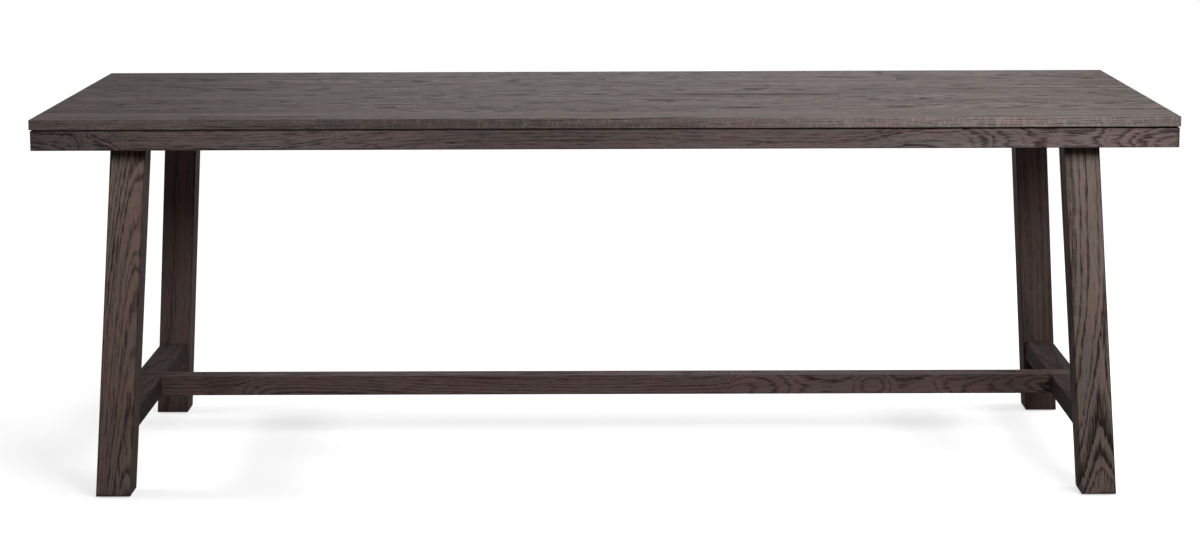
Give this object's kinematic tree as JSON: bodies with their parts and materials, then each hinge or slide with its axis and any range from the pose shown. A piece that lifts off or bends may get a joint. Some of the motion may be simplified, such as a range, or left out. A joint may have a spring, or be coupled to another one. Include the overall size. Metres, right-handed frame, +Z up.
{
  "type": "trestle dining table",
  "caption": "Long rectangular dining table with a staved wooden top, an apron under a shadow line, and leaning trestle legs joined by low cross bars and a stretcher.",
  "frame": {"origin": "on the floor under the middle of the top", "axes": "+X along the table's length, +Y from its front to its back, +Z up"},
  "size_m": [2.2, 0.95, 0.75],
  "materials": {
    "top_oak": "dark brown stain under matt lacquer",
    "apron_oak": "dark brown stain under matt lacquer",
    "leg_oak": "dark brown stain under matt lacquer",
    "bar_oak": "dark brown stain under matt lacquer",
    "stretcher_oak": "dark brown stain under matt lacquer",
    "inner_wood": "dark brown stain, unlacquered",
    "dowel_beech": "raw",
    "zinc_steel": "zinc plated",
    "insert_metal": "zinc plated, yellow",
    "glide_plastic": "matt, slightly worn"
  },
  "bodies": {
    "root": {"top_stave_1": "top_oak", "top_stave_2": "top_oak", "top_stave_3": "top_oak", "top_stave_4": "top_oak", "top_stave_5": "top_oak", "top_stave_6": "top_oak", "top_stave_7": "top_oak", "top_stave_8": "top_oak", "front_apron": "apron_oak", "back_apron": "apron_oak", "left_apron": "apron_oak", "right_apron": "apron_oak", "front_left_leg": "leg_oak", "back_left_leg": "leg_oak", "front_right_leg": "leg_oak", "back_right_leg": "leg_oak", "left_cross_bar": "bar_oak", "right_cross_bar": "bar_oak", "left_top_rail": "bar_oak", "right_top_rail": "bar_oak", "stretcher": "stretcher_oak", "left_batten": "inner_wood", "centre_batten": "inner_wood", "right_batten": "inner_wood", "front_left_corner_block": "inner_wood", "back_left_corner_block": "inner_wood", "front_right_corner_block": "inner_wood", "back_right_corner_block": "inner_wood", "apron_dowels": "dowel_beech", "apron_brackets": "zinc_steel", "bracket_screws": "zinc_steel", "corner_block_screws": "zinc_steel", "batten_screws": "zinc_steel", "rail_bolts": "zinc_steel", "rail_washers": "zinc_steel", "stretcher_bolts": "zinc_steel", "stretcher_washers": "zinc_steel", "rail_inserts": "insert_metal", "stretcher_inserts": "insert_metal", "foot_glides": "glide_plastic"}
  },
  "joints": []
}
